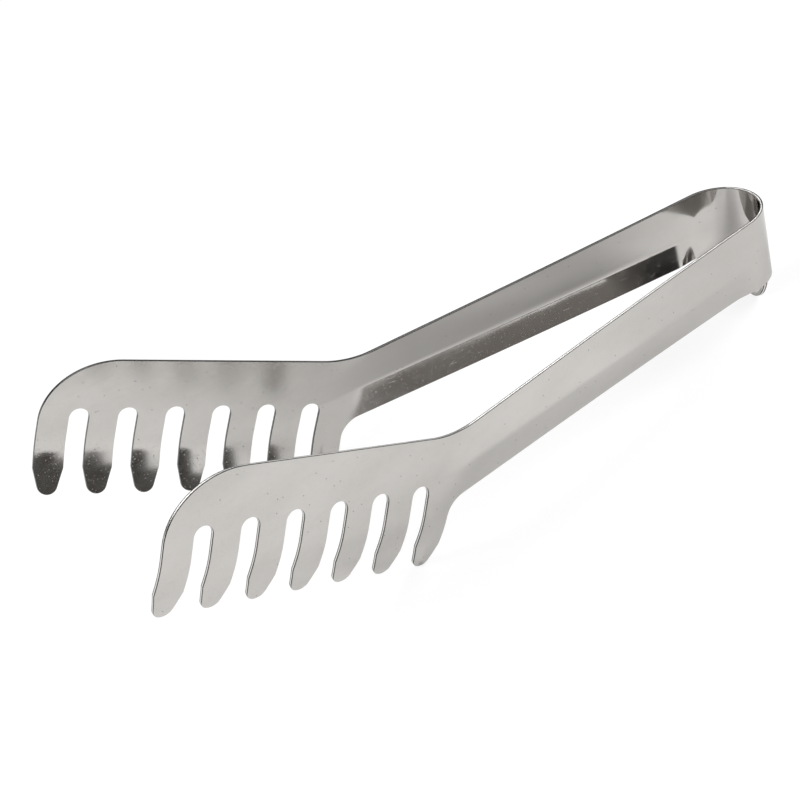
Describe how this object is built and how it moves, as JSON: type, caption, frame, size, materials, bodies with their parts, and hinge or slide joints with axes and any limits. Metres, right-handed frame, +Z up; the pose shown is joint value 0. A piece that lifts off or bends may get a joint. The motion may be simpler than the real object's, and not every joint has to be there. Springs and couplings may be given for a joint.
{
  "type": "spaghetti tongs",
  "caption": "Sprung sheet-steel tongs for long pasta: a U-shaped bow carries two ridged arms whose turned-up heads end in combs of inward-curled claws; a foot hangs below the bow.",
  "frame": {"origin": "centre of the bounding box on the table that the foot and the two rear claws stand on", "axes": "+X from the bow to the heads, +Y towards the left arm as seen from the bow, +Z up; the strip's width lies 0.9 degrees off +Z, so that the foot and the rear claws stand level"},
  "size_m": [0.2044, 0.07, 0.0612],
  "materials": {
    "bow_steel": "polished stainless sheet with fine rolling grain",
    "left_arm_steel": "polished stainless sheet with fine rolling grain",
    "right_arm_steel": "polished stainless sheet with fine rolling grain"
  },
  "bodies": {
    "bow": {"spring_bow": "bow_steel"},
    "left_arm": {"left_arm": "left_arm_steel"},
    "right_arm": {"right_arm": "right_arm_steel"}
  },
  "joints": [
    {"name": "left_arm_flex", "type": "hinge", "parent": "bow", "child": "left_arm", "pos_m": [-0.09798, 0.00848, 0.02193], "axis": [-0.016, 0, -0.9999], "range_deg": [-3, 8.8], "stiffness_Nm_per_rad": 10},
    {"name": "right_arm_flex", "type": "hinge", "parent": "bow", "child": "right_arm", "pos_m": [-0.09798, -0.00848, 0.02193], "axis": [0.016, 0, 0.9999], "range_deg": [-3, 8.8], "stiffness_Nm_per_rad": 10}
  ]
}
